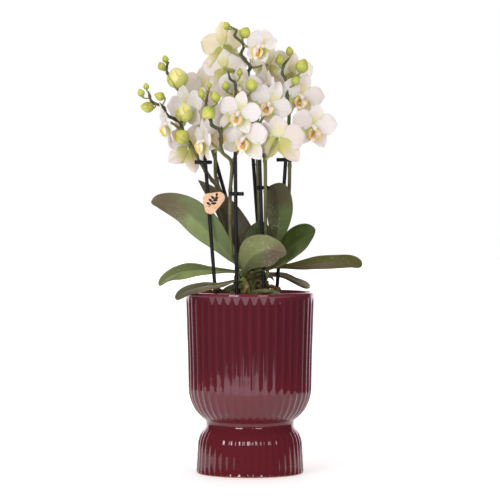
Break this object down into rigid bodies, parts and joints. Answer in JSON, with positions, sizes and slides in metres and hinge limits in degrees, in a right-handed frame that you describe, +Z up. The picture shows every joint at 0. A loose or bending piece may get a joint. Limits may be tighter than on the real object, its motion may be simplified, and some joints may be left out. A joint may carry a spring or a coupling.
{
  "type": "potted moth orchid",
  "caption": "Potted moth orchid with staked flower spikes, leaves and bark mix in a nursery pot, set in a fluted ceramic pot whose foot is a wick-fed reservoir.",
  "frame": {"origin": "centre of the ceramic pot's flat underside, on the surface that it stands on", "axes": "+Z up along the pot's axis, -Y towards the side that most flowers face, +X to the right seen from that side"},
  "size_m": [0.1994, 0.1357, 0.4017],
  "materials": {
    "burgundy_glaze": "gloss",
    "clear_plastic": "gloss",
    "orchid_bark": "matte",
    "wick_cotton": "matte",
    "black_plastic": "satin",
    "tag_wood": "satin",
    "crown_sheath": "satin",
    "aerial_root": "matte",
    "leaf_green": "satin",
    "spike_green": "satin",
    "tepal_cream": "matte"
  },
  "bodies": {
    "root": {"decorative_pot": "burgundy_glaze", "nursery_pot": "clear_plastic", "bark_mix": "orchid_bark", "water_wick": "wick_cotton", "wick_pin": "black_plastic", "plant_crown": "crown_sheath", "aerial_root_left": "aerial_root", "aerial_root_right": "aerial_root", "leaf_left_upper": "leaf_green", "leaf_back": "leaf_green", "leaf_left_middle": "leaf_green", "leaf_left_lower": "leaf_green", "leaf_front": "leaf_green", "leaf_centre": "leaf_green", "leaf_right_upright": "leaf_green", "leaf_right_upper": "leaf_green", "leaf_right_middle": "leaf_green", "leaf_right_lower": "leaf_green", "leaf_small": "leaf_green", "leaf_rear": "leaf_green", "stake_1": "black_plastic", "clip_1": "black_plastic", "spike_1": "spike_green", "stake_2": "black_plastic", "clip_2": "black_plastic", "spike_2": "spike_green", "stake_3": "black_plastic", "clip_3": "black_plastic", "spike_3": "spike_green", "stake_4": "black_plastic", "clip_4": "black_plastic", "spike_4": "spike_green", "stake_5": "black_plastic", "clip_5": "black_plastic", "spike_5": "spike_green", "stake_6": "black_plastic", "clip_6": "black_plastic", "spike_6": "spike_green", "name_tag": "tag_wood", "flower_01": "tepal_cream", "flower_02": "tepal_cream", "flower_03": "tepal_cream", "flower_04": "tepal_cream", "flower_05": "tepal_cream", "flower_06": "tepal_cream", "flower_07": "tepal_cream", "flower_08": "tepal_cream", "flower_09": "tepal_cream", "flower_10": "tepal_cream", "flower_11": "tepal_cream", "flower_12": "tepal_cream", "flower_13": "tepal_cream", "flower_14": "tepal_cream", "flower_15": "tepal_cream", "flower_16": "tepal_cream", "flower_17": "tepal_cream", "flower_18": "tepal_cream", "flower_19": "tepal_cream", "flower_20": "tepal_cream", "flower_21": "tepal_cream"}
  },
  "joints": []
}
